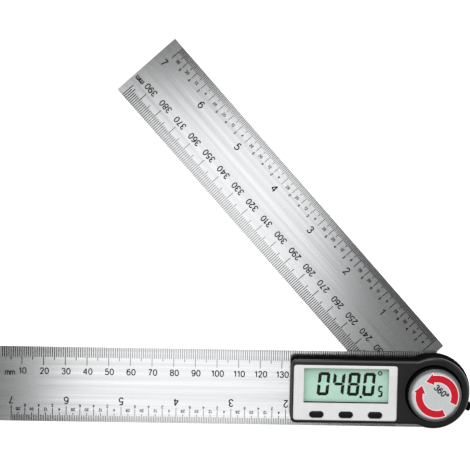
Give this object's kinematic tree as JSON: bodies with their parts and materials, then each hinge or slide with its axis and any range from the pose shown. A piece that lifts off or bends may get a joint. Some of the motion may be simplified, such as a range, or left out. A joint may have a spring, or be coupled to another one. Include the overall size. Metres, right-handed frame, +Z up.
{
  "type": "digital angle rule",
  "caption": "Digital angle finder: two graduated steel arms on one pivot, with a display housing and a clamp knob that locks the angle.",
  "frame": {"origin": "on the pivot axis, at the resting plane under the lower arm", "axes": "+X from the level arm's far end to the pivot, +Z up out of the display"},
  "size_m": [0.2182, 0.1772, 0.0167],
  "materials": {
    "blade_steel": "brushed",
    "black_abs": "satin",
    "tray_abs": "matte",
    "plate_plastic": "satin",
    "clear_acrylic": "clear",
    "display_glass": "gloss",
    "silicone": "matte",
    "button_rubber": "satin",
    "circuit_board": "satin",
    "chip_black": "matte",
    "plated_metal": "satin",
    "screw_steel": "satin",
    "hub_aluminium": "turned",
    "brass": "turned",
    "nylon": "matte",
    "silver_cap": "satin"
  },
  "bodies": {
    "base": {"base_blade": "blade_steel", "housing_cover": "black_abs", "housing_tray": "tray_abs", "display_plate": "plate_plastic", "display_lens": "clear_acrylic", "lcd_glass": "display_glass", "lcd_holder": "tray_abs", "zebra_strips": "silicone", "main_board": "circuit_board", "control_chip": "chip_black", "crystal_can": "plated_metal", "encoder_stator": "circuit_board", "link_header": "tray_abs", "coin_cell": "plated_metal", "positive_contact": "plated_metal", "negative_contact": "plated_metal", "housing_screws": "screw_steel", "board_screws": "screw_steel", "stator_screws": "screw_steel", "pivot_bush": "brass", "wear_washer": "screw_steel", "disc_spring": "screw_steel", "switch_left": "chip_black", "switch_middle": "chip_black", "switch_right": "chip_black"},
    "arm": {"arm_blade": "blade_steel", "friction_washer": "nylon", "pivot_stud": "screw_steel", "pivot_hub": "hub_aluminium", "encoder_rotor": "circuit_board", "rotor_clip": "screw_steel"},
    "knob_carrier": {"knob_washer": "screw_steel"},
    "knob": {"knob_insert": "brass", "knob_grip": "black_abs", "knob_cap": "silver_cap"},
    "door": {"battery_cover": "black_abs"},
    "key_left": {"button_left": "button_rubber", "plunger_left": "plated_metal"},
    "key_middle": {"button_middle": "button_rubber", "plunger_middle": "plated_metal"},
    "key_right": {"button_right": "button_rubber", "plunger_right": "plated_metal"}
  },
  "joints": [
    {"name": "arm_swing", "type": "hinge", "parent": "base", "child": "arm", "pos_m": [0, 0, 0], "axis": [0, 0, -1], "continuous": true},
    {"name": "knob_rise", "type": "slide", "parent": "arm", "child": "knob_carrier", "axis": [0, 0, 1], "range_m": [0, 0.0003]},
    {"name": "knob_turn", "type": "hinge", "parent": "knob_carrier", "child": "knob", "pos_m": [0, 0, 0.012], "axis": [0, 0, 1], "range_deg": [0, 120]},
    {"name": "door_turn", "type": "hinge", "parent": "base", "child": "door", "pos_m": [-0.045, 0, 0.002], "axis": [0, 0, -1], "range_deg": [0, 90]},
    {"name": "press_left", "type": "slide", "parent": "base", "child": "key_left", "axis": [0, 0, -1], "range_m": [0, 0.0004], "stiffness_N_per_m": 2000},
    {"name": "press_middle", "type": "slide", "parent": "base", "child": "key_middle", "axis": [0, 0, -1], "range_m": [0, 0.0004], "stiffness_N_per_m": 2000},
    {"name": "press_right", "type": "slide", "parent": "base", "child": "key_right", "axis": [0, 0, -1], "range_m": [0, 0.0004], "stiffness_N_per_m": 2000}
  ],
  "couplings": [
    {"joint": "knob_rise", "follows": "knob_turn", "m_per_rad": 0.00012732}
  ]
}
